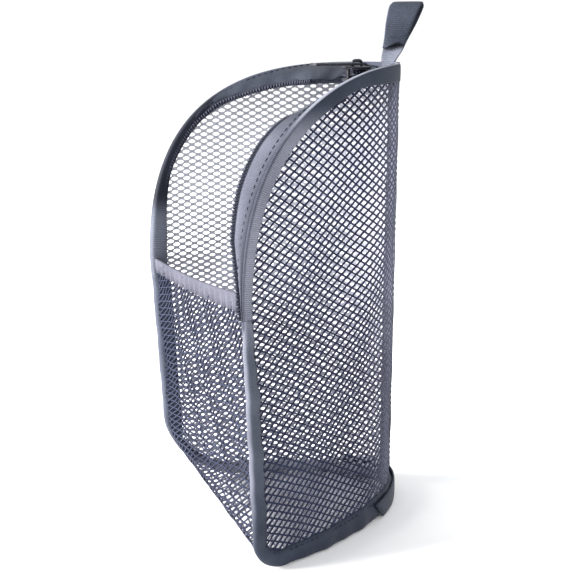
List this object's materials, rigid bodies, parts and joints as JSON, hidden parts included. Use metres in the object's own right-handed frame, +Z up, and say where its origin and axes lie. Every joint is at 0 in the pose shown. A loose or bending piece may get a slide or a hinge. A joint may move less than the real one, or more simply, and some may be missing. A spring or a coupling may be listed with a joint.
{
  "type": "hanging toiletry bag",
  "caption": "Small hanging net toiletry bag with bound edges, standing open with its curved zip undone, and a webbing hanging loop.",
  "frame": {"origin": "on the flat underside of the bottom net, in the middle of the base", "axes": "+Z up, the open front faces -Y, the back seam is at +Y, the near side is +X"},
  "size_m": [0.0852, 0.1059, 0.1953],
  "materials": {
    "net": "matte",
    "hem_knit": "matte",
    "ribbon": "matte",
    "binding": "matte",
    "zip_facing": "matte",
    "zip_tape": "matte",
    "zip_coil": "satin",
    "slider_metal": "satin",
    "strap": "matte",
    "thread": "matte"
  },
  "bodies": {
    "bag": {"far_side_net": "net", "gusset_net": "net", "gusset_hem": "hem_knit", "far_edge_binding": "binding", "far_rim_ribbon": "ribbon", "far_zip_facing": "zip_facing", "far_zip_tape": "zip_tape", "far_zip_coil": "zip_coil", "zip_end_web": "zip_facing", "zip_closed_chain": "zip_coil", "back_seam_tape": "binding", "binding_end_lap": "binding"},
    "near_side": {"near_side_net": "net", "near_edge_binding": "binding", "near_rim_ribbon": "ribbon", "near_zip_facing": "zip_facing", "near_zip_tape": "zip_tape", "near_zip_coil": "zip_coil"},
    "zip_slider": {"zip_slider": "slider_metal"},
    "zip_pull": {"pull_tab": "slider_metal"},
    "hang_strap": {"hang_loop": "strap", "loop_bar_tack": "thread"}
  },
  "joints": [
    {"name": "mouth_swing", "type": "hinge", "parent": "bag", "child": "near_side", "pos_m": [0, 0.0383, 0], "axis": [0, 0, -1], "range_deg": [0, 36], "deforming": ["gusset_net", "gusset_hem", "zip_end_web"]},
    {"name": "slider_slide", "type": "slide", "parent": "bag", "child": "zip_slider", "axis": [0, -1, 0], "range_m": [0, 0.005]},
    {"name": "pull_hinge", "type": "hinge", "parent": "zip_slider", "child": "zip_pull", "pos_m": [0, 0.0244, 0.17155], "axis": [-1, 0, 0], "range_deg": [0, 105]},
    {"name": "strap_hinge", "type": "hinge", "parent": "bag", "child": "hang_strap", "pos_m": [0, 0.0421, 0.1723], "axis": [-1, 0, 0], "range_deg": [-25, 110]}
  ]
}
